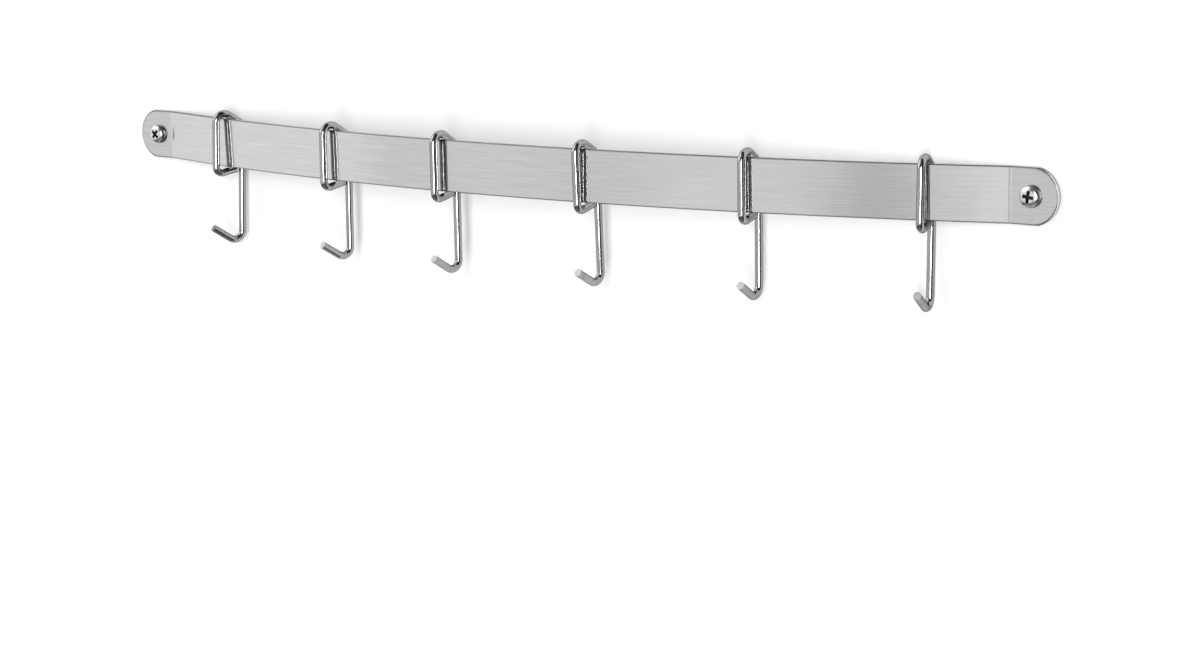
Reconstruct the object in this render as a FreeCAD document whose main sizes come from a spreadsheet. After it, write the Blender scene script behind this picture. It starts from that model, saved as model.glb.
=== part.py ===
import FreeCAD, Part
import math
import os
import Sketcher

doc = FreeCAD.newDocument("utensil_rail")

# Driving dimensions, in millimetres and degrees
SIZES = [
    ("rail_height", 20.0, "height of the flat strip"),
    ("rail_thickness", 2.0, "thickness of the flat strip"),
    ("screw_spacing", 420.0, "distance between the two screw holes"),
    ("tab_round_extra", 0.4, "how far the tab's end radius passes half the strip's height"),
    ("tab_reach", 8.0, "from a screw hole to the bend where its tab begins"),
    ("bow", 30.0, "how far the strip bows out in front of its tabs"),
    ("bend_radius", 5.0, "inside radius of the bend beside each tab"),
    ("edge_round", 0.3, "rounding of the strip's long edges"),
    ("screw_shank_diameter", 4.0, "screw shank, over its thread"),
    ("screw_hole_clearance", 0.3, "gap between the shank and its hole, all round"),
    ("screw_neck_diameter", 3.2, "plain neck between the head and the thread"),
    ("screw_neck_length", 3.0, "plain neck, from under the head"),
    ("screw_length", 30.0, "screw from under its head to its point"),
    ("screw_point_length", 5.0, "tapered end of the screw"),
    ("screw_tip_diameter", 0.8, "blunt end of the screw's point"),
    ("screw_head_diameter", 7.8, "pan head"),
    ("screw_head_height", 2.5, "pan head, from the tab to the top of its crown"),
    ("screw_rim_height", 1.1, "straight side of the pan head"),
    ("recess_span", 4.6, "cross recess, from tip to tip"),
    ("recess_width", 1.0, "width of each slot of the cross recess"),
    ("recess_depth", 1.5, "depth of the cross recess below the crown"),
    ("left_recess_turn", 40.0, "how the left screw's recess is turned"),
    ("right_recess_turn", 8.0, "how the right screw's recess is turned"),
    ("wire_diameter", 3.0, "hook wire"),
    ("seat_clearance", 0.2, "gap between the arch and the strip's top rear corner"),
    ("front_gap", 1.3, "gap between the strut and the strip's front"),
    ("back_gap", 5.4, "gap between the strip's back and the leg"),
    ("bottom_gap", 1.3, "gap between the strip's bottom edge and the loop"),
    ("loop_bend_radius", 2.5, "bend under the strip, on the wire's centre line"),
    ("arch_bend_radius", 3.8, "bend over the strip, on the wire's centre line"),
    ("arch_fall", 34.0, "slope of the arch behind the strip"),
    ("rear_bend_radius", 3.5, "bend from the arch into the leg"),
    ("return_rise", 14.0, "slope of the short return under the strip"),
    ("return_end_gap", 1.2, "gap between the return's cut end and the leg"),
    ("hook_drop", 52.5, "from the strip's top edge to the lowest point of a hook"),
    ("tip_bend_radius", 3.6, "bend from the leg into the tip"),
    ("tip_rise", 31.5, "slope of the upturned tip"),
    ("tip_length", 9.0, "straight part of the tip"),
    ("hook_1_inset", 41.3, "where hook 1 hangs, from the left bend"),
    ("hook_1_turn", -9.0, "how far hook 1 is turned from square to the strip"),
    ("hook_1_lean", 2.1, "how far hook 1 leans out at the bottom"),
    ("hook_2_inset", 112.4, "where hook 2 hangs, from the left bend"),
    ("hook_2_turn", -8.4, "turn of hook 2"),
    ("hook_2_lean", 0.6, "lean of hook 2"),
    ("hook_3_inset", 173.4, "where hook 3 hangs, from the left bend"),
    ("hook_3_turn", -4.9, "turn of hook 3"),
    ("hook_3_lean", -0.1, "lean of hook 3"),
    ("hook_4_inset", 163.1, "where hook 4 hangs, from the right bend"),
    ("hook_4_turn", -7.3, "turn of hook 4"),
    ("hook_4_lean", -2.0, "lean of hook 4"),
    ("hook_5_inset", 94.7, "where hook 5 hangs, from the right bend"),
    ("hook_5_turn", -6.7, "turn of hook 5"),
    ("hook_5_lean", 0.2, "lean of hook 5"),
    ("hook_6_inset", 29.4, "where hook 6 hangs, from the right bend"),
    ("hook_6_turn", -5.0, "turn of hook 6"),
    ("hook_6_lean", 3.0, "lean of hook 6"),
]
# The end of the strip that each hook's place is measured from, left or right
HOOK_SIDES = {1: -1, 2: -1, 3: -1, 4: 1, 5: 1, 6: 1}

sheet = doc.addObject("Spreadsheet::Sheet", "sizes")
for row, (alias, value, note) in enumerate(SIZES, start=1):
    sheet.set(f"A{row}", note)
    sheet.set(f"B{row}", str(value))
    sheet.setAlias(f"B{row}", alias)
doc.recompute()


def size(alias):
    return float(getattr(sheet, alias))


# The bowed part of the strip is an arc about an upright axis behind the wall
HALF_SPAN = "(sizes.screw_spacing / 2 - sizes.tab_reach)"
ARC_RADIUS = f"(({HALF_SPAN} ^ 2 + sizes.bow ^ 2) / (2 * sizes.bow))"
ARC_AXIS_Y = f"({ARC_RADIUS} - sizes.bow - sizes.rail_thickness)"
MIDDLE_RADIUS = f"({ARC_RADIUS} - sizes.rail_thickness / 2)"
TAB_END_RADIUS = "(sizes.rail_height / 2 + sizes.tab_round_extra)"
HALF_LENGTH = f"(sizes.screw_spacing / 2 + {TAB_END_RADIUS})"

half_span = size("screw_spacing") / 2 - size("tab_reach")
arc_radius = (half_span ** 2 + size("bow") ** 2) / (2 * size("bow"))
arc_axis_y = arc_radius - size("bow") - size("rail_thickness")
back_bend_x = math.sqrt((arc_radius - size("rail_thickness")) ** 2 - arc_axis_y ** 2)
tab_end_radius = size("rail_height") / 2 + size("tab_round_extra")
half_length = size("screw_spacing") / 2 + tab_end_radius
print(f"arc radius {arc_radius:.3f}, its axis at Y {arc_axis_y:.3f}")

# The sketcher's own numbers for points and axes
START, END, CENTRE = range(1, 4)
X_AXIS, Y_AXIS = range(-1, -3, -1)
ORIGIN = (X_AXIS, START)

CUT_MARGIN = 2.0
TOLERANCE = 1e-4


def new_body(label):
    body = doc.addObject("PartDesign::Body", label)
    body.Label = label
    return body


def new_sketch(body, name, plane):
    sketch = body.newObject("Sketcher::SketchObject", name)
    origin_plane = next(f for f in body.Origin.OriginFeatures if f.Role == plane)
    sketch.AttachmentSupport = (origin_plane, "")
    sketch.MapMode = "FlatFace"
    return sketch


def add_line(sketch, start, end):
    segment = Part.LineSegment(FreeCAD.Vector(*start, 0), FreeCAD.Vector(*end, 0))
    return sketch.addGeometry(segment, False)


def add_arc(sketch, centre, start, end):
    radius = math.dist(centre, start)
    circle = Part.Circle(FreeCAD.Vector(*centre, 0), FreeCAD.Vector(0, 0, 1), radius)
    begin = math.atan2(start[1] - centre[1], start[0] - centre[0])
    finish = math.atan2(end[1] - centre[1], end[0] - centre[0])
    if finish <= begin:
        finish += 2 * math.pi
    return sketch.addGeometry(Part.ArcOfCircle(circle, begin, finish), False)


def add_circle(sketch, centre, diameter):
    circle = Part.Circle(FreeCAD.Vector(*centre, 0), FreeCAD.Vector(0, 0, 1), diameter / 2)
    return sketch.addGeometry(circle, False)


def hold(sketch, *terms):
    return sketch.addConstraint(Sketcher.Constraint(*terms))


def drive(sketch, name, expression, *terms):
    index = hold(sketch, *terms)
    sketch.renameConstraint(index, name)
    sketch.setExpression(f"Constraints.{name}", expression)


def close_loop(sketch, edges):
    for (edge, _, last), (following, first, _) in zip(edges, edges[1:] + edges[:1]):
        hold(sketch, "Coincident", edge, last, following, first)


def finish_feature(feature):
    doc.recompute()
    assert feature.isValid(), f"{feature.Name} fails"
    return feature


# The strip: its bowed outline seen from above, raised to its height
def draw_strip_plan(sketch):
    front_y = -size("rail_thickness")
    axis = (0, arc_axis_y)

    front_left = add_line(sketch, (-half_length, front_y), (-half_span, front_y))
    front_arc = add_arc(sketch, axis, (-half_span, front_y), (half_span, front_y))
    front_right = add_line(sketch, (half_span, front_y), (half_length, front_y))
    right_end = add_line(sketch, (half_length, front_y), (half_length, 0))
    back_right = add_line(sketch, (half_length, 0), (back_bend_x, 0))
    back_arc = add_arc(sketch, axis, (-back_bend_x, 0), (back_bend_x, 0))
    back_left = add_line(sketch, (-back_bend_x, 0), (-half_length, 0))
    left_end = add_line(sketch, (-half_length, 0), (-half_length, front_y))
    close_loop(sketch, [
        (front_left, START, END), (front_arc, START, END), (front_right, START, END),
        (right_end, START, END), (back_right, START, END), (back_arc, END, START),
        (back_left, START, END), (left_end, START, END),
    ])

    for edge in (front_left, front_right, back_right, back_left):
        hold(sketch, "Horizontal", edge)
    for edge in (right_end, left_end):
        hold(sketch, "Vertical", edge)
    hold(sketch, "PointOnObject", back_right, START, X_AXIS)
    hold(sketch, "PointOnObject", back_left, END, X_AXIS)
    hold(sketch, "Equal", right_end, left_end)
    hold(sketch, "Coincident", front_arc, CENTRE, back_arc, CENTRE)
    hold(sketch, "PointOnObject", front_arc, CENTRE, Y_AXIS)
    drive(sketch, "thickness", "sizes.rail_thickness",
          "DistanceY", right_end, START, right_end, END, size("rail_thickness"))
    drive(sketch, "front_radius", ARC_RADIUS, "Radius", front_arc, arc_radius)
    drive(sketch, "back_radius", f"{ARC_RADIUS} - sizes.rail_thickness",
          "Radius", back_arc, arc_radius - size("rail_thickness"))
    drive(sketch, "axis_y", ARC_AXIS_Y, "DistanceY", *ORIGIN, front_arc, CENTRE, arc_axis_y)
    drive(sketch, "right_length", HALF_LENGTH,
          "DistanceX", *ORIGIN, front_right, END, half_length)
    drive(sketch, "left_length", HALF_LENGTH,
          "DistanceX", front_left, START, *ORIGIN, half_length)


# What is cut away outside a tab's round end, which is concentric with its screw hole
def draw_end_cut(sketch, side, name):
    hole_x = size("screw_spacing") / 2
    half_height = size("rail_height") / 2
    corner_x = hole_x + math.sqrt(tab_end_radius ** 2 - half_height ** 2)
    outer_x = half_length + CUT_MARGIN
    outer_z = half_height + CUT_MARGIN
    corners = [
        (corner_x, half_height), (corner_x, outer_z), (outer_x, outer_z),
        (outer_x, -outer_z), (corner_x, -outer_z), (corner_x, -half_height),
    ]
    points = [(side * x, z) for x, z in corners]
    edges = [add_line(sketch, a, b) for a, b in zip(points, points[1:])]
    loop = [(edge, START, END) for edge in edges]
    if side > 0:
        rounded = add_arc(sketch, (hole_x, 0), points[-1], points[0])
        loop.append((rounded, START, END))
    else:
        rounded = add_arc(sketch, (-hole_x, 0), points[0], points[-1])
        loop.append((rounded, END, START))
    close_loop(sketch, loop)

    for edge, direction in zip(edges, ("Vertical", "Horizontal") * 3):
        hold(sketch, direction, edge)
    hold(sketch, "PointOnObject", rounded, CENTRE, X_AXIS)
    drive(sketch, f"{name}_hole", "sizes.screw_spacing / 2",
          "DistanceX", *outward(side, (rounded, CENTRE)), hole_x)
    drive(sketch, f"{name}_reach", f"{HALF_LENGTH} + {CUT_MARGIN}",
          "DistanceX", *outward(side, (edges[2], START)), outer_x)
    drive(sketch, f"{name}_radius", TAB_END_RADIUS, "Radius", rounded, tab_end_radius)
    drive(sketch, f"{name}_top", "sizes.rail_height / 2",
          "DistanceY", *ORIGIN, edges[0], START, half_height)
    drive(sketch, f"{name}_bottom", "sizes.rail_height / 2",
          "DistanceY", edges[4], END, *ORIGIN, half_height)
    drive(sketch, f"{name}_above", f"sizes.rail_height / 2 + {CUT_MARGIN}",
          "DistanceY", *ORIGIN, edges[1], START, outer_z)
    drive(sketch, f"{name}_below", f"sizes.rail_height / 2 + {CUT_MARGIN}",
          "DistanceY", edges[3], END, *ORIGIN, outer_z)


def outward(side, point):
    return (*ORIGIN, *point) if side > 0 else (*point, *ORIGIN)


def draw_screw_holes(sketch):
    hole_x = size("screw_spacing") / 2
    diameter = size("screw_shank_diameter") + 2 * size("screw_hole_clearance")
    for side, name in ((1, "right"), (-1, "left")):
        hole = add_circle(sketch, (side * hole_x, 0), diameter)
        hold(sketch, "PointOnObject", hole, CENTRE, X_AXIS)
        drive(sketch, f"{name}_place", "sizes.screw_spacing / 2",
              "DistanceX", *outward(side, (hole, CENTRE)), hole_x)
        drive(sketch, f"{name}_hole", "sizes.screw_shank_diameter + 2 * sizes.screw_hole_clearance",
              "Diameter", hole, diameter)


def cut_through(body, name, sketch):
    before = body.Shape.Volume
    pocket = body.newObject("PartDesign::Pocket", name)
    pocket.Profile = sketch
    pocket.SideType = "Symmetric"
    pocket.Type = "ThroughAll"
    finish_feature(pocket)
    assert body.Shape.Volume < before, f"{name} cuts nothing"


def round_edges(body, name, expression, wanted):
    base = body.Tip
    chosen = [f"Edge{i}" for i, edge in enumerate(base.Shape.Edges, start=1) if wanted(edge)]
    assert chosen, f"{name} finds no edges"
    fillet = body.newObject("PartDesign::Fillet", name)
    fillet.Base = (base, chosen)
    fillet.setExpression("Radius", expression)
    finish_feature(fillet)


def upright_at(edge, x, y):
    low, high = edge.Vertexes[0].Point, edge.Vertexes[-1].Point
    at_bend = abs(abs(low.x) - x) < TOLERANCE and abs(low.y - y) < TOLERANCE
    return at_bend and math.hypot(high.x - low.x, high.y - low.y) < TOLERANCE


def on_outline(point):
    on_long_edge = abs(abs(point.z) - size("rail_height") / 2) < TOLERANCE
    from_hole = math.hypot(abs(point.x) - size("screw_spacing") / 2, point.z)
    return on_long_edge or abs(from_hole - tab_end_radius) < TOLERANCE


def follows_outline(edge):
    first, last = edge.ParameterRange
    points = [edge.valueAt(t) for t in (first, (first + last) / 2, last)]
    across_strip = math.hypot(points[0].x - points[2].x, points[0].z - points[2].z)
    return all(on_outline(p) for p in points) and across_strip > size("rail_thickness")


def make_rail():
    body = new_body("rail")
    plan = new_sketch(body, "strip_plan", "XY_Plane")
    draw_strip_plan(plan)
    strip = body.newObject("PartDesign::Pad", "strip")
    strip.Profile = plan
    strip.SideType = "Symmetric"
    strip.setExpression("Length", "sizes.rail_height")
    finish_feature(strip)

    round_edges(body, "bend_front", "sizes.bend_radius",
                lambda edge: upright_at(edge, half_span, -size("rail_thickness")))
    round_edges(body, "bend_back", "sizes.bend_radius + sizes.rail_thickness",
                lambda edge: upright_at(edge, back_bend_x, 0))

    ends = new_sketch(body, "round_ends", "XZ_Plane")
    draw_end_cut(ends, 1, "right")
    draw_end_cut(ends, -1, "left")
    cut_through(body, "tab_ends", ends)
    round_edges(body, "soft_edges", "sizes.edge_round", follows_outline)

    holes = new_sketch(body, "screw_holes", "XZ_Plane")
    draw_screw_holes(holes)
    cut_through(body, "tab_holes", holes)
    return body


# A pan-head screw, turned about its own axis, with a cross recess
def draw_screw_profile(sketch):
    head_radius = size("screw_head_diameter") / 2
    neck_radius = size("screw_neck_diameter") / 2
    shank_radius = size("screw_shank_diameter") / 2
    tip_radius = size("screw_tip_diameter") / 2
    crown_rise = size("screw_head_height") - size("screw_rim_height")
    crown_radius = (head_radius ** 2 + crown_rise ** 2) / (2 * crown_rise)
    crown_top = (0, -size("screw_head_height"))
    rim_top = (head_radius, -size("screw_rim_height"))
    taper_y = size("screw_length") - size("screw_point_length")

    crown = add_arc(sketch, (0, crown_top[1] + crown_radius), crown_top, rim_top)
    points = [
        rim_top, (head_radius, 0), (neck_radius, 0), (neck_radius, size("screw_neck_length")),
        (shank_radius, size("screw_neck_length")), (shank_radius, taper_y),
        (tip_radius, size("screw_length")), (0, size("screw_length")), crown_top,
    ]
    edges = [add_line(sketch, a, b) for a, b in zip(points, points[1:])]
    rim, seat, neck, step, shank, taper, tip, axis = edges
    close_loop(sketch, [(edge, START, END) for edge in [crown] + edges])

    for edge in (rim, neck, shank, axis):
        hold(sketch, "Vertical", edge)
    for edge in (seat, step, tip):
        hold(sketch, "Horizontal", edge)
    hold(sketch, "PointOnObject", seat, START, X_AXIS)
    hold(sketch, "PointOnObject", crown, START, Y_AXIS)
    hold(sketch, "PointOnObject", crown, CENTRE, Y_AXIS)
    drive(sketch, "head", "sizes.screw_head_diameter / 2",
          "DistanceX", *ORIGIN, seat, START, head_radius)
    drive(sketch, "neck", "sizes.screw_neck_diameter / 2",
          "DistanceX", *ORIGIN, neck, START, neck_radius)
    drive(sketch, "neck_end", "sizes.screw_neck_length",
          "DistanceY", *ORIGIN, neck, END, size("screw_neck_length"))
    drive(sketch, "shank", "sizes.screw_shank_diameter / 2",
          "DistanceX", *ORIGIN, shank, START, shank_radius)
    drive(sketch, "tip", "sizes.screw_tip_diameter / 2",
          "DistanceX", *ORIGIN, tip, START, tip_radius)
    drive(sketch, "rim", "sizes.screw_rim_height",
          "DistanceY", rim, START, rim, END, size("screw_rim_height"))
    drive(sketch, "crown", "sizes.screw_head_height",
          "DistanceY", crown, START, *ORIGIN, size("screw_head_height"))
    drive(sketch, "taper", "sizes.screw_length - sizes.screw_point_length",
          "DistanceY", *ORIGIN, taper, START, taper_y)
    drive(sketch, "length", "sizes.screw_length",
          "DistanceY", *ORIGIN, tip, START, size("screw_length"))


def draw_recess_slot(sketch):
    half_span = size("recess_span") / 2
    half_width = size("recess_width") / 2
    points = [(-half_span, -half_width), (half_span, -half_width),
              (half_span, half_width), (-half_span, half_width)]
    edges = [add_line(sketch, a, b) for a, b in zip(points, points[1:] + points[:1])]
    low, right, high, left = edges
    close_loop(sketch, [(edge, START, END) for edge in edges])
    for edge in (low, high):
        hold(sketch, "Horizontal", edge)
    for edge in (right, left):
        hold(sketch, "Vertical", edge)
    hold(sketch, "Symmetric", low, START, high, START, *ORIGIN)
    drive(sketch, "span", "sizes.recess_span",
          "DistanceX", low, START, low, END, size("recess_span"))
    drive(sketch, "width", "sizes.recess_width",
          "DistanceY", right, START, right, END, size("recess_width"))


def make_screw(label, side, turn):
    body = new_body(label)
    profile = new_sketch(body, f"{label}_profile", "XY_Plane")
    draw_screw_profile(profile)
    turned = body.newObject("PartDesign::Revolution", f"{label}_turned")
    turned.Profile = profile
    turned.ReferenceAxis = (profile, ["V_Axis"])
    turned.Angle = 360
    finish_feature(turned)

    slot_sketch = new_sketch(body, f"{label}_slot", "XZ_Plane")
    slot_sketch.setExpression("AttachmentOffset.Base.z", "sizes.screw_head_height")
    draw_recess_slot(slot_sketch)
    before = body.Shape.Volume
    slot = body.newObject("PartDesign::Pocket", f"{label}_recess")
    slot.Profile = slot_sketch
    slot.Type = "Length"
    slot.setExpression("Length", "sizes.recess_depth")
    finish_feature(slot)
    assert body.Shape.Volume < before, f"{label}'s slot cuts nothing"

    cross = body.newObject("PartDesign::PolarPattern", f"{label}_cross")
    cross.Originals = [slot]
    cross.Axis = (slot_sketch, ["N_Axis"])
    cross.Angle = 90
    cross.Occurrences = 2
    body.Tip = cross
    seat = f"{side} * sizes.screw_spacing / 2 * 1mm; -sizes.rail_thickness * 1mm; 0mm"
    turned_by = f"create(<<rotation>>; create(<<vector>>; 0; 1; 0); sizes.{turn} * 1deg)"
    body.setExpression(
        "Placement", f"create(<<placement>>; create(<<vector>>; {seat}); {turned_by})")
    finish_feature(cross)
    return body


# A hook is one wire, bent in one plane. Its sketch has Y towards the wall and Z up, from the middle
# of the strip's top edge. From the tip to the return, every bend turns the same way.
def draw_wire_path(sketch):
    wire_radius = size("wire_diameter") / 2
    half_strip = size("rail_thickness") / 2
    strut_y = -(half_strip + size("front_gap") + wire_radius)
    leg_y = half_strip + size("back_gap") + wire_radius
    under_z = -(size("rail_height") + size("bottom_gap") + wire_radius)
    lowest_z = -(size("hook_drop") - wire_radius)
    tip_angle = math.radians(size("tip_rise"))
    fall = math.radians(size("arch_fall"))
    rise = math.radians(size("return_rise"))
    hook_r, rear_r = size("tip_bend_radius"), size("rear_bend_radius")
    arch_r, loop_r = size("arch_bend_radius"), size("loop_bend_radius")

    hook_centre = (leg_y - hook_r, lowest_z + hook_r)
    tip_root = (hook_centre[0] - hook_r * math.sin(tip_angle),
                hook_centre[1] - hook_r * math.cos(tip_angle))
    tip_end = (tip_root[0] - size("tip_length") * math.cos(tip_angle),
               tip_root[1] + size("tip_length") * math.sin(tip_angle))
    leg_low = (leg_y, hook_centre[1])
    # the arch's fall lies on the strip's top rear corner, which sets the height of its bend
    arch_y = strut_y + arch_r
    arch_depth = (arch_r - wire_radius - size("seat_clearance")
                  - math.sin(fall) * (half_strip - arch_y)) / math.cos(fall)
    arch_centre = (arch_y, -arch_depth)
    slope_high = (arch_y + arch_r * math.sin(fall), arch_r * math.cos(fall) - arch_depth)
    corner_z = slope_high[1] - (leg_y - slope_high[0]) * math.tan(fall)
    leg_high = (leg_y, corner_z - rear_r * math.tan((math.pi / 2 - fall) / 2))
    rear_centre = (leg_y - rear_r, leg_high[1])
    slope_low = (rear_centre[0] + rear_r * math.sin(fall),
                 rear_centre[1] + rear_r * math.cos(fall))
    strut_high = (strut_y, -arch_depth)
    bottom_centre = (strut_y + loop_r, under_z + loop_r)
    strut_low = (strut_y, bottom_centre[1])
    return_root = (bottom_centre[0] + loop_r * math.sin(rise),
                   bottom_centre[1] - loop_r * math.cos(rise))
    return_y = leg_y - wire_radius - size("return_end_gap")
    return_end = (return_y, return_root[1] + (return_y - return_root[0]) * math.tan(rise))

    tip = add_line(sketch, tip_end, tip_root)
    hook_bend = add_arc(sketch, hook_centre, tip_root, leg_low)
    leg = add_line(sketch, leg_low, leg_high)
    rear_bend = add_arc(sketch, rear_centre, leg_high, slope_low)
    slope = add_line(sketch, slope_low, slope_high)
    arch = add_arc(sketch, arch_centre, slope_high, strut_high)
    strut = add_line(sketch, strut_high, strut_low)
    bottom_bend = add_arc(sketch, bottom_centre, strut_low, return_root)
    back = add_line(sketch, return_root, return_end)

    path = [tip, hook_bend, leg, rear_bend, slope, arch, strut, bottom_bend, back]
    for before, after in zip(path, path[1:]):
        hold(sketch, "Tangent", before, END, after, START)
    for edge in (leg, strut):
        hold(sketch, "Vertical", edge)

    bends = {
        "tip_bend_radius": hook_bend, "rear_bend_radius": rear_bend,
        "arch_bend_radius": arch, "loop_bend_radius": bottom_bend,
    }
    for alias, bend in bends.items():
        drive(sketch, f"{alias}_size", f"sizes.{alias}", "Radius", bend, size(alias))
    drive(sketch, "tip_angle", "-sizes.tip_rise * 1deg", "Angle", tip, -tip_angle)
    drive(sketch, "fall_angle", "(180 - sizes.arch_fall) * 1deg", "Angle", slope, math.pi - fall)
    drive(sketch, "return_angle", "sizes.return_rise * 1deg", "Angle", back, rise)

    half = "sizes.wire_diameter / 2"
    edge = "sizes.rail_thickness / 2"
    drive(sketch, "tip_run", "sizes.tip_length", "Distance", tip, size("tip_length"))
    drive(sketch, "leg_depth", f"sizes.hook_drop - {half} - sizes.tip_bend_radius",
          "DistanceY", hook_bend, CENTRE, *ORIGIN, -hook_centre[1])
    drive(sketch, "leg_place", f"{edge} + sizes.back_gap + {half}",
          "DistanceX", *ORIGIN, leg, START, leg_y)
    behind = f"sizes.rail_thickness + sizes.front_gap + {half} - sizes.arch_bend_radius"
    drive(sketch, "arch_depth",
          f"(sizes.arch_bend_radius - {half} - sizes.seat_clearance"
          f" - sin(sizes.arch_fall * 1deg) * ({behind})) / cos(sizes.arch_fall * 1deg)",
          "DistanceY", arch, CENTRE, *ORIGIN, arch_depth)
    drive(sketch, "strut_place", f"{edge} + sizes.front_gap + {half}",
          "DistanceX", strut, START, *ORIGIN, -strut_y)
    drive(sketch, "loop_depth", f"sizes.rail_height + sizes.bottom_gap + {half} - sizes.loop_bend_radius",
          "DistanceY", bottom_bend, CENTRE, *ORIGIN, -bottom_centre[1])
    drive(sketch, "return_stop", f"{edge} + sizes.back_gap - sizes.return_end_gap",
          "DistanceX", *ORIGIN, back, END, return_y)


def make_hook(number, side):
    label = f"hook_{number}"
    body = new_body(label)
    path = new_sketch(body, f"{label}_path", "YZ_Plane")
    draw_wire_path(path)
    doc.recompute()

    section = body.newObject("Sketcher::SketchObject", f"{label}_section")
    section.AttachmentSupport = (path, "Edge1")
    section.MapMode = "NormalToEdge"
    circle = add_circle(section, (0, 0), size("wire_diameter"))
    hold(section, "Coincident", circle, CENTRE, *ORIGIN)
    drive(section, "wire", "sizes.wire_diameter", "Diameter", circle, size("wire_diameter"))
    doc.recompute()

    wire = body.newObject("PartDesign::AdditivePipe", f"{label}_wire")
    wire.Profile = section
    wire.Spine = (path, [])
    wire.Mode = "Standard"
    finish_feature(wire)
    expected = math.pi * (size("wire_diameter") / 2) ** 2 * path.Shape.Length
    assert abs(body.Shape.Volume / expected - 1) < 0.01, f"{label}'s wire is not whole"

    place = f"({side} * ({HALF_SPAN} - sizes.{label}_inset))"
    on_strip = (f"{place} * 1mm; ({ARC_AXIS_Y} - sqrt({MIDDLE_RADIUS} ^ 2 - {place} ^ 2)) * 1mm; "
                "sizes.rail_height / 2 * 1mm")
    yaw = f"asin({place} / {MIDDLE_RADIUS}) + sizes.{label}_turn * 1deg"
    hang = f"create(<<rotation>>; {yaw}; 0deg; -sizes.{label}_lean * 1deg)"
    body.setExpression(
        "Placement", f"create(<<placement>>; create(<<vector>>; {on_strip}); {hang})")
    doc.recompute()
    return body


pieces = [
    make_rail(),
    make_screw("left_screw", -1, "left_recess_turn"),
    make_screw("right_screw", 1, "right_recess_turn"),
]
pieces += [make_hook(number, side) for number, side in HOOK_SIDES.items()]
doc.recompute()

for item in doc.Objects:
    assert not {"Invalid", "Error"} & set(item.State), f"{item.Name} is in state {item.State}"
os.makedirs("parts", exist_ok=True)
for piece in pieces:
    shape = piece.Shape
    assert not shape.isNull() and shape.isValid(), f"{piece.Label} is not a valid solid"
    assert len(shape.Solids) == 1, f"{piece.Label} has {len(shape.Solids)} solids"
    shape.exportStep(f"parts/{piece.Label}.step")
    print(f"{piece.Label}: volume {shape.Volume:.1f}, {len(shape.Faces)} faces")
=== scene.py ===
import math

import bmesh
import bpy
from mathutils import Matrix, Vector


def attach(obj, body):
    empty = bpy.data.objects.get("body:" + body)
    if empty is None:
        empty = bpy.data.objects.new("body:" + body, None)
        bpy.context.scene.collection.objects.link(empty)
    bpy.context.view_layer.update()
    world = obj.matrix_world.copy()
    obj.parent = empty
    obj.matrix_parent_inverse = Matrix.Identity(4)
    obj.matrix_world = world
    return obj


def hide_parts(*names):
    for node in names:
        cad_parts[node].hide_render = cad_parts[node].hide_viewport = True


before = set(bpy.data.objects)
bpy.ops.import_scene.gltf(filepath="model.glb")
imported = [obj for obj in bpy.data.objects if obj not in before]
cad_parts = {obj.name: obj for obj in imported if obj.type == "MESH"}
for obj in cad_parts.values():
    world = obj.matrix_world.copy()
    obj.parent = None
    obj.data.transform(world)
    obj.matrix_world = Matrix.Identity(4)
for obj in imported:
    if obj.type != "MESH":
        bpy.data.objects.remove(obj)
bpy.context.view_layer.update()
scene = bpy.context.scene
scene.view_settings.view_transform = "Standard"
mm = 0.001
nearlyLevel = 0.9
print("frame loaded:", sorted(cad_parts))


# small helpers for working as if by hand
def deselectAll():
    if bpy.context.mode != "OBJECT":
        bpy.ops.object.mode_set(mode="OBJECT")
    bpy.ops.object.select_all(action="DESELECT")


def workOn(piece):
    deselectAll()
    piece.select_set(True)
    bpy.context.view_layer.objects.active = piece


def settle():
    bpy.ops.object.transform_apply(location=True, rotation=True, scale=True)


def pickFaces(piece, wanted):
    mesh = bmesh.from_edit_mesh(piece.data)
    bpy.ops.mesh.select_all(action="DESELECT")
    for face in mesh.faces:
        if wanted(face):
            face.select_set(True)
    bmesh.update_edit_mesh(piece.data)


def pullAlong(length):
    bpy.ops.mesh.extrude_region_move(TRANSFORM_OT_translate={"value": (0, 0, length * mm)})


def applyModifier(piece, kind, **settings):
    workOn(piece)
    modifier = piece.modifiers.new(kind.lower(), kind)
    for name, value in settings.items():
        setattr(modifier, name, value)
    bpy.ops.object.modifier_apply(modifier=modifier.name)


# the photograph's viewpoint
viewpoint = {
    "place": (0.658918, -0.851600, 0.128318),
    "yaw": 36.7293,
    "pitch": 10.3761,
    "roll": -1.0215,
    "lens": 83.8985,
    "sensor": 36,
    "nearest": 0.01,
}


def setCamera():
    yaw, pitch, roll = (math.radians(viewpoint[turn]) for turn in ("yaw", "pitch", "roll"))
    ahead = Vector((-math.sin(yaw) * math.cos(pitch), math.cos(yaw) * math.cos(pitch), -math.sin(pitch)))
    right = Vector((math.cos(yaw), math.sin(yaw), 0))
    up = right.cross(ahead)
    right, up = (
        right * math.cos(roll) + up * math.sin(roll),
        up * math.cos(roll) - right * math.sin(roll),
    )
    lensData = bpy.data.cameras.new("photoCamera")
    lensData.lens = viewpoint["lens"]
    lensData.sensor_width = viewpoint["sensor"]
    lensData.sensor_fit = "HORIZONTAL"
    lensData.clip_start = viewpoint["nearest"]
    camera = bpy.data.objects.new("photoCamera", lensData)
    scene.collection.objects.link(camera)
    turned = Matrix((right, up, -ahead)).transposed().to_4x4()
    camera.matrix_world = Matrix.Translation(viewpoint["place"]) @ turned
    scene.camera = camera


setCamera()
print("camera set")


# helpers for node trees
def addNode(tree, kind, place, **settings):
    node = tree.nodes.new(kind)
    node.location = place
    for name, value in settings.items():
        setattr(node, name, value)
    return node


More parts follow.
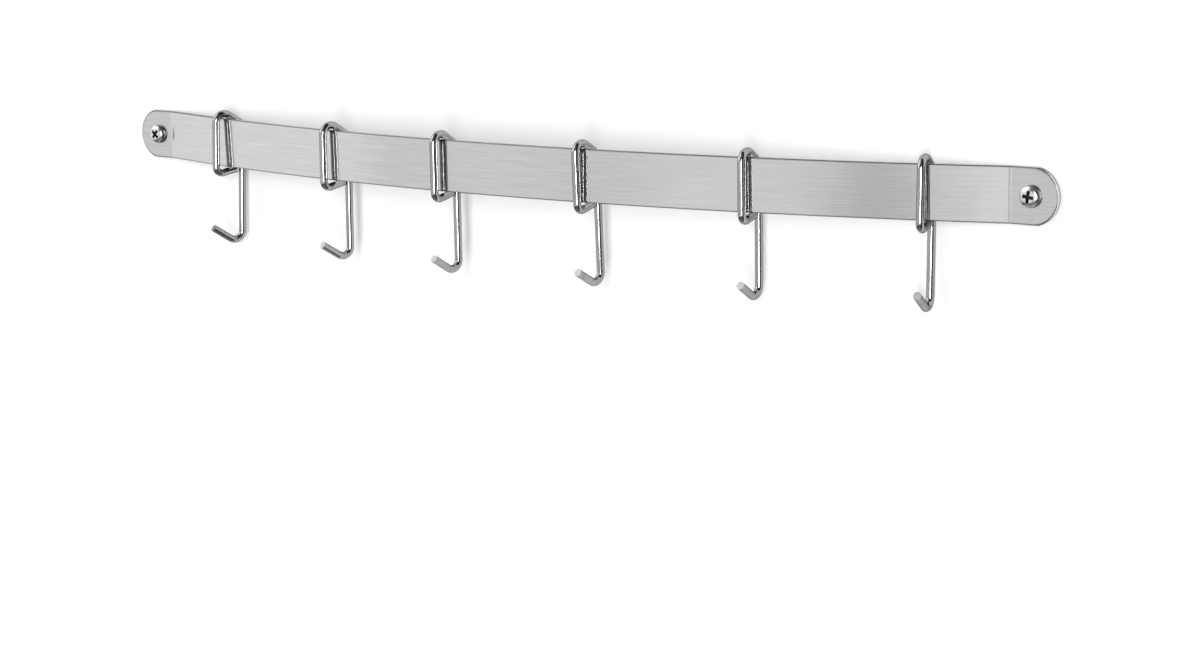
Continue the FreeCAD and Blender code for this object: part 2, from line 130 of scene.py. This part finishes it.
def newFinish(name):
    finish = bpy.data.materials.new(name)
    finish.use_nodes = True
    finish.node_tree.nodes.clear()
    return finish, finish.node_tree


def setRamp(ramp, stops):
    elements = ramp.color_ramp.elements
    while len(elements) > 1:
        elements.remove(elements[-1])
    elements[0].position = stops[0][0]
    elements[0].color = (*[stops[0][1]] * 3, 1)
    for position, level in stops[1:]:
        elements.new(position).color = (*[level] * 3, 1)


def calculate(tree, place, operation, *values):
    node = addNode(tree, "ShaderNodeMath", place, operation=operation)
    for socket, value in zip(node.inputs, values):
        if isinstance(value, (int, float)):
            socket.default_value = value
        else:
            tree.links.new(value, socket)
    return node.outputs[0]


def remap(tree, place, value, low, high, fromLow=0.0, fromHigh=1.0):
    node = addNode(tree, "ShaderNodeMapRange", place)
    node.inputs["From Min"].default_value = fromLow
    node.inputs["From Max"].default_value = fromHigh
    node.inputs["To Min"].default_value = low
    node.inputs["To Max"].default_value = high
    tree.links.new(value, node.inputs["Value"])
    return node.outputs["Result"]


def mixColours(tree, place, share, first, second):
    node = addNode(tree, "ShaderNodeMix", place, data_type="RGBA")
    tree.links.new(share, node.inputs[0])
    for socket, colour in ((node.inputs[6], first), (node.inputs[7], second)):
        if isinstance(colour, tuple):
            socket.default_value = (*colour, 1)
        else:
            tree.links.new(colour, socket)
    return node.outputs[2]


# brushed lines, or drawn lines on wire: noise stretched along the direction of working
lineNoise = {
    "fineDetail": 4,
    "fineRoughness": 0.65,
    "broadDetail": 2,
}


def makeWorkedLines():
    group = bpy.data.node_groups.new("workedLines", "ShaderNodeTree")
    sockets = group.interface
    sockets.new_socket("Coords", in_out="INPUT", socket_type="NodeSocketVector")
    sockets.new_socket("Stretch", in_out="INPUT", socket_type="NodeSocketVector")
    sockets.new_socket("Broad", in_out="INPUT", socket_type="NodeSocketFloat")
    sockets.new_socket("Lines", in_out="OUTPUT", socket_type="NodeSocketFloat")
    sockets.new_socket("Bands", in_out="OUTPUT", socket_type="NodeSocketFloat")
    inside = addNode(group, "NodeGroupInput", (-700, 0))
    outside = addNode(group, "NodeGroupOutput", (500, 0))
    fineScale = addNode(group, "ShaderNodeVectorMath", (-480, 120), operation="MULTIPLY")
    broadScale = addNode(group, "ShaderNodeVectorMath", (-300, -120), operation="SCALE")
    fine = addNode(group, "ShaderNodeTexNoise", (-100, 140))
    fine.inputs["Scale"].default_value = 1
    fine.inputs["Detail"].default_value = lineNoise["fineDetail"]
    fine.inputs["Roughness"].default_value = lineNoise["fineRoughness"]
    broad = addNode(group, "ShaderNodeTexNoise", (-100, -120))
    broad.inputs["Scale"].default_value = 1
    broad.inputs["Detail"].default_value = lineNoise["broadDetail"]
    group.links.new(inside.outputs["Coords"], fineScale.inputs[0])
    group.links.new(inside.outputs["Stretch"], fineScale.inputs[1])
    group.links.new(fineScale.outputs[0], fine.inputs["Vector"])
    group.links.new(fineScale.outputs[0], broadScale.inputs[0])
    group.links.new(inside.outputs["Broad"], broadScale.inputs["Scale"])
    group.links.new(broadScale.outputs[0], broad.inputs["Vector"])
    group.links.new(fine.outputs["Fac"], outside.inputs["Lines"])
    group.links.new(broad.outputs["Fac"], outside.inputs["Bands"])
    return group


# faint marks from hands and cloths
markNoise = {
    "detail": 3,
    "distortion": 0.6,
    "clear": 0.42,
    "full": 0.68,
}


def makeHandMarks():
    group = bpy.data.node_groups.new("handMarks", "ShaderNodeTree")
    sockets = group.interface
    sockets.new_socket("Coords", in_out="INPUT", socket_type="NodeSocketVector")
    sockets.new_socket("Size", in_out="INPUT", socket_type="NodeSocketFloat")
    sockets.new_socket("Marks", in_out="OUTPUT", socket_type="NodeSocketFloat")
    inside = addNode(group, "NodeGroupInput", (-500, 0))
    outside = addNode(group, "NodeGroupOutput", (400, 0))
    cloud = addNode(group, "ShaderNodeTexNoise", (-250, 0))
    cloud.inputs["Detail"].default_value = markNoise["detail"]
    cloud.inputs["Distortion"].default_value = markNoise["distortion"]
    soften = addNode(group, "ShaderNodeMapRange", (0, 0), interpolation_type="SMOOTHSTEP")
    soften.inputs["From Min"].default_value = markNoise["clear"]
    soften.inputs["From Max"].default_value = markNoise["full"]
    group.links.new(inside.outputs["Coords"], cloud.inputs["Vector"])
    group.links.new(inside.outputs["Size"], cloud.inputs["Scale"])
    group.links.new(cloud.outputs["Fac"], soften.inputs["Value"])
    group.links.new(soften.outputs["Result"], outside.inputs["Marks"])
    return group


workedLines = makeWorkedLines()
handMarks = makeHandMarks()


def useGroup(tree, group, place, coords, **values):
    node = addNode(tree, "ShaderNodeGroup", place, node_tree=group)
    tree.links.new(coords, node.inputs["Coords"])
    for name, value in values.items():
        node.inputs[name].default_value = value
    return node


# what every finish here ends with: bare metal with a little relief
reliefDepth = 0.00005


def endAsMetal(tree, tone, gloss, height, relief, constants):
    bump = addNode(tree, "ShaderNodeBump", (-300, -250))
    bump.inputs["Strength"].default_value = relief
    bump.inputs["Distance"].default_value = reliefDepth
    tree.links.new(height, bump.inputs["Height"])
    shader = addNode(tree, "ShaderNodeBsdfPrincipled", (0, 0))
    shader.inputs["Metallic"].default_value = 1
    for name, value in constants.items():
        shader.inputs[name].default_value = value
    output = addNode(tree, "ShaderNodeOutputMaterial", (320, 0))
    tree.links.new(tone, shader.inputs["Base Color"])
    tree.links.new(gloss, shader.inputs["Roughness"])
    tree.links.new(bump.outputs["Normal"], shader.inputs["Normal"])
    tree.links.new(shader.outputs[0], output.inputs["Surface"])
    return shader


# the strip: flat steel brushed along its length
stripFinish = {
    "pale": (0.637, 0.635, 0.632),
    "deep": (0.562, 0.56, 0.557),
    "edgeShade": (0.09, 0.089, 0.088),
    "endHighlight": (0.76, 0.758, 0.755),
    "edgeFacing": (0.15, 0.55),
    "endFacing": (0.45, 0.75),
    "endBack": (-0.0011, -0.0007),
    "shadeOutline": (0.0094, 0.0098),
    "shadeOutlineShare": 0.8,
    "tabCentre": 0.2104,
    "roughness": (0.14, 0.21),
    "anisotropy": 0.96,
    "grainTurn": 0.25,
    "lines": (40, 0, 1900),
    "broad": 0.16,
    "strokes": (0.34, 0.66),
    "bands": (0.35, 0.75),
    "bandShare": 0.15,
    "markSize": 38,
    "markDulling": 0.03,
    "relief": 0.08,
}


def finishStrip():
    finish, tree = newFinish("brushedStrip")
    coords = addNode(tree, "ShaderNodeTexCoord", (-1300, 0))
    lines = useGroup(tree, workedLines, (-1050, 200), coords.outputs["Object"],
                     Stretch=stripFinish["lines"], Broad=stripFinish["broad"])
    marks = useGroup(tree, handMarks, (-1050, -150), coords.outputs["Object"], Size=stripFinish["markSize"])
    strokes = remap(tree, (-850, 400), lines.outputs["Lines"], 0.0, 1.0, *stripFinish["strokes"])
    tone = mixColours(tree, (-700, 300), strokes, stripFinish["deep"], stripFinish["pale"])
    bands = remap(tree, (-850, 80), lines.outputs["Bands"], 0.0, stripFinish["bandShare"],
                  *stripFinish["bands"])
    tone = mixColours(tree, (-520, 260), bands, tone, stripFinish["deep"])
    # painted shade: the long edges are painted darker than the faces; painted highlight: the tabs' round
    # ends are painted bright
    facing = addNode(tree, "ShaderNodeSeparateXYZ", (-1250, -400))
    tree.links.new(coords.outputs["Normal"], facing.inputs[0])
    upDown = calculate(tree, (-1080, -400), "ABSOLUTE", facing.outputs["Z"])
    sideways = calculate(tree, (-1080, -560), "ABSOLUTE", facing.outputs["X"])
    edge = remap(tree, (-900, -400), upDown, 0.0, 1.0, *stripFinish["edgeFacing"])
    ends = remap(tree, (-900, -560), sideways, 0.0, 1.0, *stripFinish["endFacing"])
    # how far a spot is from the strip's middle line, and at the ends from the tab's centre
    spot = addNode(tree, "ShaderNodeSeparateXYZ", (-1250, -720))
    tree.links.new(coords.outputs["Object"], spot.inputs[0])
    fromMiddle = calculate(tree, (-1080, -720), "ABSOLUTE", spot.outputs["X"])
    pastCentre = calculate(tree, (-920, -720), "SUBTRACT", fromMiddle, stripFinish["tabCentre"])
    outwards = calculate(tree, (-760, -720), "MAXIMUM", pastCentre, 0)
    spread = addNode(tree, "ShaderNodeCombineXYZ", (-600, -720))
    tree.links.new(outwards, spread.inputs["X"])
    tree.links.new(spot.outputs["Z"], spread.inputs["Z"])
    distance = addNode(tree, "ShaderNodeVectorMath", (-440, -720), operation="LENGTH")
    tree.links.new(spread.outputs[0], distance.inputs[0])
    # painted shade: a dark outline ring round the tabs' round ends
    shadeOutline = remap(tree, (-280, -720), distance.outputs["Value"], 0.0, stripFinish["shadeOutlineShare"],
                 *stripFinish["shadeOutline"])
    # painted shade on the long edges and the dark outline round the tab ends
    dark = calculate(tree, (-540, -400), "MAXIMUM", edge, shadeOutline)
    tone = mixColours(tree, (-340, 220), dark, tone, stripFinish["edgeShade"])
    # the painted highlight on the ends stops short of the back, next to the wall
    ahead = remap(tree, (-440, -900), spot.outputs["Y"], 1.0, 0.0, *stripFinish["endBack"])
    bright = calculate(tree, (-280, -900), "MULTIPLY", ends, ahead)
    tone = mixColours(tree, (-180, 220), bright, tone, stripFinish["endHighlight"])
    gloss = remap(tree, (-700, 0), lines.outputs["Lines"], *stripFinish["roughness"])
    dulled = remap(tree, (-700, -200), marks.outputs["Marks"], 0.0, stripFinish["markDulling"])
    gloss = calculate(tree, (-400, 0), "ADD", gloss, dulled)
    shader = endAsMetal(tree, tone, gloss, lines.outputs["Lines"], stripFinish["relief"], {
        "Anisotropic": stripFinish["anisotropy"],
        "Anisotropic Rotation": stripFinish["grainTurn"],
    })
    along = addNode(tree, "ShaderNodeTangent", (-300, -450), direction_type="RADIAL", axis="Z")
    tree.links.new(along.outputs["Tangent"], shader.inputs["Tangent"])
    return finish


# the hooks: drawn wire, bent and polished
wireFinish = {
    "pale": (0.44, 0.438, 0.435),
    "deep": (0.26, 0.258, 0.256),
    "rimTint": (0.35, 0.35, 0.35),
    "roughness": (0.08, 0.1),
    "glossLines": (0.3, 0.8),
    "lines": (600, 600, 26),
    "broad": 0.9,
    "markSize": 120,
    "markDulling": 0.015,
    "relief": 0.006,
}


def finishWire():
    finish, tree = newFinish("polishedWire")
    coords = addNode(tree, "ShaderNodeTexCoord", (-1300, 0))
    lines = useGroup(tree, workedLines, (-1050, 200), coords.outputs["Object"],
                     Stretch=wireFinish["lines"], Broad=wireFinish["broad"])
    marks = useGroup(tree, handMarks, (-1050, -150), coords.outputs["Object"], Size=wireFinish["markSize"])
    tone = mixColours(tree, (-600, 300), lines.outputs["Bands"], wireFinish["deep"], wireFinish["pale"])
    gloss = remap(tree, (-700, 0), lines.outputs["Lines"], *wireFinish["roughness"],
                  *wireFinish["glossLines"])
    dulled = remap(tree, (-700, -200), marks.outputs["Marks"], 0.0, wireFinish["markDulling"])
    gloss = calculate(tree, (-400, 0), "ADD", gloss, dulled)
    endAsMetal(tree, tone, gloss, lines.outputs["Lines"], wireFinish["relief"], {
        "Specular Tint": (*wireFinish["rimTint"], 1),
    })
    return finish


# the screws: bright plating, with the head's side rougher and painted dark as shade, and the recess painted
# dark as shade
platingFinish = {
    "pale": (0.74, 0.735, 0.72),
    "deep": (0.6, 0.592, 0.575),
    "recess": (0.05, 0.049, 0.047),
    "side": (0.16, 0.158, 0.152),
    "roughness": (0.16, 0.3),
    "recessRoughness": (0.5, 0.65),
    "sideRoughness": (0.3, 0.45),
    "grain": 900,
    "relief": 0.05,
}


def finishPlating(name, pale, deep, roughness):
    finish, tree = newFinish(name)
    coords = addNode(tree, "ShaderNodeTexCoord", (-1100, 0))
    marks = useGroup(tree, handMarks, (-850, 150), coords.outputs["Object"], Size=platingFinish["grain"])
    tone = mixColours(tree, (-500, 200), marks.outputs["Marks"], pale, deep)
    gloss = remap(tree, (-500, -50), marks.outputs["Marks"], *roughness)
    endAsMetal(tree, tone, gloss, marks.outputs["Marks"], platingFinish["relief"], {})
    return finish


def wear(piece, finish):
    piece.data.materials.clear()
    piece.data.materials.append(finish)


brushedStrip = finishStrip()
polishedWire = finishWire()
brightPlating = finishPlating("brightPlating", platingFinish["pale"], platingFinish["deep"],
                              platingFinish["roughness"])
# the cross recess is painted near black as shade
recessShadePlating = finishPlating("recessShadePlating", platingFinish["recess"], platingFinish["recess"],
                              platingFinish["recessRoughness"])
sideShadePlating = finishPlating("sideShadePlating", platingFinish["side"], platingFinish["side"],
                            platingFinish["sideRoughness"])
wear(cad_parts["rail"], brushedStrip)
for number in range(1, 7):
    wear(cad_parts[f"hook_{number}"], polishedWire)
print("finishes on the strip and the hooks")


# the two screws: round head, cross recess, plain neck and a tapping thread
# lengths in mm along the screw, from where its point begins, with the head at the low end
screwSizes = {
    "crownTop": -27.5,
    "rimTop": -26.1,
    "seat": -25.0,
    "neckEnd": -22.0,
    "tip": 5.0,
    "headRadius": 3.9,
    "headSides": 64,
    "crownRings": ((3.72, 0.3), (3.4, 0.55), (2.9, 0.77), (2.2, 0.91), (1.3, 0.98), (0.6, 1.0)),
    "neckRadius": 1.6,
    "coreRadius": 1.3,
    "rimRound": 0.18,
    "rimSteps": 3,
    "rimReach": 0.05,
    "sideReach": 0.25,
    "sideSlope": 0.6,
    "recessSpan": 4.9,
    "recessWidth": 1.3,
    "recessFloor": -26.0,
    "recessTaper": (0.5, 0.8),
    "cutterOver": 0.3,
    "threadRadius": 2.0,
    "threadFoot": 0.5,
    "threadCrest": 0.08,
    "threadSink": 0.1,
    "threadStart": -21.4,
    "threadPitch": 1.8,
    "threadTurns": 14,
    "threadSteps": 36,
    "pointTaper": -0.8,
    "pointStart": 23.0,
    "smoothUpTo": 32,
    "places": {"left_screw": (-210, 40), "right_screw": (210, 8)},
}
sameHeight = 1e-6


def makeScrewBlank(sizes):
    deselectAll()
    bpy.ops.mesh.primitive_cylinder_add(
        vertices=sizes["headSides"], radius=sizes["headRadius"] * mm,
        depth=(sizes["seat"] - sizes["rimTop"]) * mm, location=(0, 0, 0))
    blank = bpy.context.active_object
    blank.location.z = (sizes["seat"] + sizes["rimTop"]) / 2 * mm
    settle()
    bpy.ops.object.mode_set(mode="EDIT")
    # the crown, ring by ring: each ring's radius and its share of the crown's height
    rise = sizes["rimTop"] - sizes["crownTop"]
    pickFaces(blank, lambda face: face.normal.z < -nearlyLevel)
    height, radius = sizes["rimTop"], sizes["headRadius"]
    for ring, share in sizes["crownRings"]:
        newHeight = sizes["rimTop"] - rise * share
        pullAlong(newHeight - height)
        bpy.ops.transform.resize(value=(ring / radius, ring / radius, 1),
                                 center_override=(0, 0, newHeight * mm))
        height, radius = newHeight, ring
    # under the head: the neck, then the thinner core down to the point
    pickFaces(blank, lambda face: face.normal.z > nearlyLevel)
    bpy.ops.mesh.inset(thickness=(sizes["headRadius"] - sizes["neckRadius"]) * mm)
    pullAlong(sizes["neckEnd"] - sizes["seat"])
    bpy.ops.mesh.inset(thickness=(sizes["neckRadius"] - sizes["coreRadius"]) * mm)
    pullAlong(-sizes["neckEnd"])
    pullAlong(sizes["tip"])
    # the rim's two edges are rounded
    mesh = bmesh.from_edit_mesh(blank.data)
    bpy.ops.mesh.select_mode(type="EDGE")
    bpy.ops.mesh.select_all(action="DESELECT")
    for edge in mesh.edges:
        level = abs(edge.verts[0].co.z - edge.verts[1].co.z) < sameHeight
        atRim = min(v.co.xy.length for v in edge.verts) > (sizes["headRadius"] - sizes["rimReach"]) * mm
        if level and atRim:
            edge.select_set(True)
    bmesh.update_edit_mesh(blank.data)
    bpy.ops.mesh.bevel(offset=sizes["rimRound"] * mm, segments=sizes["rimSteps"], affect="EDGES")
    bpy.ops.mesh.select_mode(type="FACE")
    # the head's side is rougher than its crown and painted dark as shade
    wear(blank, brightPlating)
    blank.data.materials.append(sideShadePlating)
    sideStart = (sizes["headRadius"] - sizes["sideReach"]) * mm
    pickFaces(blank, lambda face: abs(face.normal.z) < sizes["sideSlope"]
              and face.calc_center_median().xy.length > sideStart)
    blank.active_material_index = 1
    bpy.ops.object.material_slot_assign()
    bpy.ops.object.mode_set(mode="OBJECT")
    return blank


def cutRecess(blank, sizes):
    top = sizes["crownTop"] - sizes["cutterOver"]
    depth = sizes["recessFloor"] - top
    for turn in (0, 90):
        deselectAll()
        bpy.ops.mesh.primitive_cube_add(size=1, location=(0, 0, 0))
        cutter = bpy.context.active_object
        cutter.scale = (sizes["recessSpan"] * mm, sizes["recessWidth"] * mm, depth * mm)
        cutter.location.z = (sizes["recessFloor"] + top) / 2 * mm
        settle()
        bpy.ops.object.mode_set(mode="EDIT")
        pickFaces(cutter, lambda face: face.normal.z > nearlyLevel)
        lengthwise, sideways = sizes["recessTaper"]
        bpy.ops.transform.resize(value=(lengthwise, sideways, 1),
                                 center_override=(0, 0, sizes["recessFloor"] * mm))
        bpy.ops.object.mode_set(mode="OBJECT")
        cutter.rotation_euler.z = math.radians(turn)
        settle()
        # the recess walls get the plating painted near black as shade
        wear(cutter, recessShadePlating)
        applyModifier(blank, "BOOLEAN", operation="DIFFERENCE", object=cutter, solver="EXACT",
                      material_mode="TRANSFER")
        bpy.data.objects.remove(cutter)


def makeThread(sizes):
    deselectAll()
    bpy.ops.mesh.primitive_circle_add(vertices=4, radius=mm, fill_type="NOTHING", location=(0, 0, 0))
    thread = bpy.context.active_object
    bpy.ops.object.mode_set(mode="EDIT")
    foot, crest = sizes["threadFoot"], sizes["threadCrest"]
    inner, outer = sizes["coreRadius"] - sizes["threadSink"], sizes["threadRadius"]
    profile = ((inner, -foot), (outer, -crest), (outer, crest), (inner, foot))
    mesh = bmesh.from_edit_mesh(thread.data)
    for corner, (across, along) in zip(mesh.verts, profile):
        corner.co = (across * mm, 0, (sizes["threadStart"] + along) * mm)
    bmesh.update_edit_mesh(thread.data)
    bpy.ops.object.mode_set(mode="OBJECT")
    applyModifier(thread, "SCREW", axis="Z", angle=math.tau, screw_offset=sizes["threadPitch"] * mm,
                  iterations=sizes["threadTurns"], steps=sizes["threadSteps"],
                  render_steps=sizes["threadSteps"], use_merge_vertices=False)
    bpy.ops.object.mode_set(mode="EDIT")
    bpy.ops.mesh.select_all(action="SELECT")
    bpy.ops.mesh.fill_holes(sides=0)
    bpy.ops.mesh.select_all(action="SELECT")
    bpy.ops.mesh.normals_make_consistent(inside=False)
    bpy.ops.object.mode_set(mode="OBJECT")
    wear(thread, brightPlating)
    return thread


def makeScrews(sizes):
    blank = makeScrewBlank(sizes)
    cutRecess(blank, sizes)
    thread = makeThread(sizes)
    workOn(blank)
    thread.select_set(True)
    bpy.ops.object.join()
    length = sizes["tip"] - sizes["crownTop"]
    applyModifier(blank, "SIMPLE_DEFORM", deform_method="TAPER", deform_axis="Z",
                  factor=sizes["pointTaper"], limits=(-sizes["crownTop"] / length, 1))
    bpy.ops.object.shade_smooth_by_angle(angle=math.radians(sizes["smoothUpTo"]))
    for node, (across, turn) in sizes["places"].items():
        workOn(blank)
        bpy.ops.object.duplicate()
        screw = bpy.context.active_object
        screw.name = screw.data.name = node.split("_")[0] + "ThreadedScrew"
        screw.rotation_euler = (0, 0, math.radians(turn))
        settle()
        screw.rotation_euler = (math.radians(-90), 0, 0)
        screw.location = (across * mm, sizes["pointStart"] * mm, 0)
        settle()
        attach(screw, "rail_body")
        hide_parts(node)
        print(node, "made, faces:", len(screw.data.polygons))
    bpy.data.objects.remove(blank)


makeScrews(screwSizes)


# wall and floor of the studio: their lit part keeps the shadows, the rest is plain white
studio = {
    "wallBack": 0.0006,
    "wallHalf": 1.4,
    "floorDrop": 1.0,
    "floorHalf": 0.8,
    "floorDepth": 1.2,
    "paint": (0.8, 0.8, 0.8),
    "ownWhite": 0.15,
    "floorPaint": (0.25, 0.25, 0.25),
    "floorWhite": 0.08,
    "cloudScale": 4,
    "cloudLift": 1.01,
    "keyPlace": (1.785, -2.97, 0.26),
    "keySize": (0.4, 2.0),
    "keyPower": 84,
    "sidePlace": (-1.51, -0.943, 1.293),
    "sideSize": (2.4, 2.0),
    "sidePower": 25.7,
}


def makeBackdrop(name, colour, ownWhite):
    finish, tree = newFinish(name)
    coords = addNode(tree, "ShaderNodeTexCoord", (-900, 0))
    cloud = addNode(tree, "ShaderNodeTexNoise", (-700, 0))
    cloud.inputs["Scale"].default_value = studio["cloudScale"]
    tree.links.new(coords.outputs["Object"], cloud.inputs["Vector"])
    lifted = tuple(level * studio["cloudLift"] for level in colour)
    paint = mixColours(tree, (-450, 0), cloud.outputs["Fac"], colour, lifted)
    lit = addNode(tree, "ShaderNodeBsdfDiffuse", (-200, 100))
    tree.links.new(paint, lit.inputs["Color"])
    path = addNode(tree, "ShaderNodeLightPath", (-700, -300))
    seen = calculate(tree, (-500, -300), "MAXIMUM", path.outputs["Is Camera Ray"],
                     path.outputs["Is Glossy Ray"])
    seen = calculate(tree, (-330, -300), "MAXIMUM", seen, path.outputs["Is Transmission Ray"])
    level = remap(tree, (-160, -300), seen, 0.0, ownWhite)
    own = addNode(tree, "ShaderNodeEmission", (30, -200))
    tree.links.new(level, own.inputs["Strength"])
    both = addNode(tree, "ShaderNodeAddShader", (220, 0))
    tree.links.new(lit.outputs[0], both.inputs[0])
    tree.links.new(own.outputs[0], both.inputs[1])
    # clear from behind, so that the object's back can be seen
    side = addNode(tree, "ShaderNodeNewGeometry", (220, 250))
    clear = addNode(tree, "ShaderNodeBsdfTransparent", (220, -200))
    mix = addNode(tree, "ShaderNodeMixShader", (440, 0))
    tree.links.new(side.outputs["Backfacing"], mix.inputs[0])
    tree.links.new(both.outputs[0], mix.inputs[1])
    tree.links.new(clear.outputs[0], mix.inputs[2])
    output = addNode(tree, "ShaderNodeOutputMaterial", (640, 0))
    tree.links.new(mix.outputs[0], output.inputs["Surface"])
    return finish


def makeStage():
    half = studio["wallHalf"]
    deselectAll()
    bpy.ops.mesh.primitive_plane_add(size=2 * half, rotation=(math.radians(90), 0, 0),
                                     location=(0, studio["wallBack"], half - studio["floorDrop"]))
    wall = bpy.context.active_object
    wall.name = "studioWall"
    deselectAll()
    bpy.ops.mesh.primitive_plane_add(size=1, location=(0, -studio["floorDepth"] / 2, -studio["floorDrop"]))
    floor = bpy.context.active_object
    floor.name = "studioFloor"
    floor.scale = (2 * studio["floorHalf"], studio["floorDepth"], 1)
    for sheet in (wall, floor):
        workOn(sheet)
        settle()
    wear(wall, makeBackdrop("whiteWall", studio["paint"], studio["ownWhite"]))
    wear(floor, makeBackdrop("paleFloor", studio["floorPaint"], studio["floorWhite"]))


makeStage()


# the room round the object: by compass direction, where 0.5 is straight out from the wall and higher is to
# the right, and by height, where 0.5 is level
roomLight = {
    "round": (
        (0.0, 0.3), (0.2, 0.4), (0.26, 0.9), (0.286, 1.06), (0.31, 1.065), (0.333, 1.065), (0.35, 1.06),
        (0.36, 0.905), (0.392, 0.95), (0.416, 0.895), (0.4385, 1.075), (0.46, 1.055), (0.4677, 1.055),
        (0.4751, 0.985), (0.4825, 0.765), (0.49, 0.855), (0.497, 0.96), (0.505, 1.14), (0.512, 1.2),
        (0.53, 1.2), (0.57, 1.2), (0.6, 0.8), (0.625, 0.3), (0.65, 0.2), (0.8, 0.18), (0.9, 0.2), (1.0, 0.3),
    ),
    "height": ((0.0, 0.1), (0.26, 0.12), (0.33, 1.0), (0.54, 1.0), (0.62, 0.6), (0.74, 0.2), (1.0, 0.12)),
}


def makeRoom():
    room = bpy.data.worlds.new("studioRoom")
    room.use_nodes = True
    scene.world = room
    tree = room.node_tree
    tree.nodes.clear()
    coords = addNode(tree, "ShaderNodeTexCoord", (-1200, 0))
    parts = addNode(tree, "ShaderNodeSeparateXYZ", (-1000, 0))
    tree.links.new(coords.outputs["Generated"], parts.inputs[0])
    ahead = calculate(tree, (-820, -100), "MULTIPLY", parts.outputs["Y"], -1)
    compass = calculate(tree, (-640, 0), "ARCTAN2", parts.outputs["X"], ahead)
    turn = remap(tree, (-460, 0), compass, 0.0, 1.0, -math.pi, math.pi)
    aroundRamp = addNode(tree, "ShaderNodeValToRGB", (-280, 100))
    setRamp(aroundRamp, roomLight["round"])
    tree.links.new(turn, aroundRamp.inputs[0])
    tilt = remap(tree, (-460, -250), parts.outputs["Z"], 0.0, 1.0, -1.0, 1.0)
    heightRamp = addNode(tree, "ShaderNodeValToRGB", (-280, -250))
    setRamp(heightRamp, roomLight["height"])
    tree.links.new(tilt, heightRamp.inputs[0])
    level = addNode(tree, "ShaderNodeVectorMath", (20, 0), operation="MULTIPLY")
    tree.links.new(aroundRamp.outputs[0], level.inputs[0])
    tree.links.new(heightRamp.outputs[0], level.inputs[1])
    path = addNode(tree, "ShaderNodeLightPath", (20, 300))
    dim = addNode(tree, "ShaderNodeBackground", (240, 0))
    tree.links.new(level.outputs[0], dim.inputs["Color"])
    white = addNode(tree, "ShaderNodeBackground", (240, -150))
    white.inputs["Color"].default_value = (1, 1, 1, 1)
    choose = addNode(tree, "ShaderNodeMixShader", (440, 0))
    tree.links.new(path.outputs["Is Camera Ray"], choose.inputs[0])
    tree.links.new(dim.outputs[0], choose.inputs[1])
    tree.links.new(white.outputs[0], choose.inputs[2])
    output = addNode(tree, "ShaderNodeOutputWorld", (640, 0))
    tree.links.new(choose.outputs[0], output.inputs["Surface"])


def makeLamp(name, place, size, power):
    lampData = bpy.data.lights.new(name, "AREA")
    lampData.shape = "RECTANGLE"
    lampData.size, lampData.size_y = size
    lampData.energy = power
    lamp = bpy.data.objects.new(name, lampData)
    lamp.location = place
    lamp.rotation_euler = (-Vector(place)).to_track_quat("-Z", "Y").to_euler()
    scene.collection.objects.link(lamp)


makeRoom()
makeLamp("softKey", studio["keyPlace"], studio["keySize"], studio["keyPower"])
makeLamp("softSide", studio["sidePlace"], studio["sideSize"], studio["sidePower"])
print("wall, floor and light set")
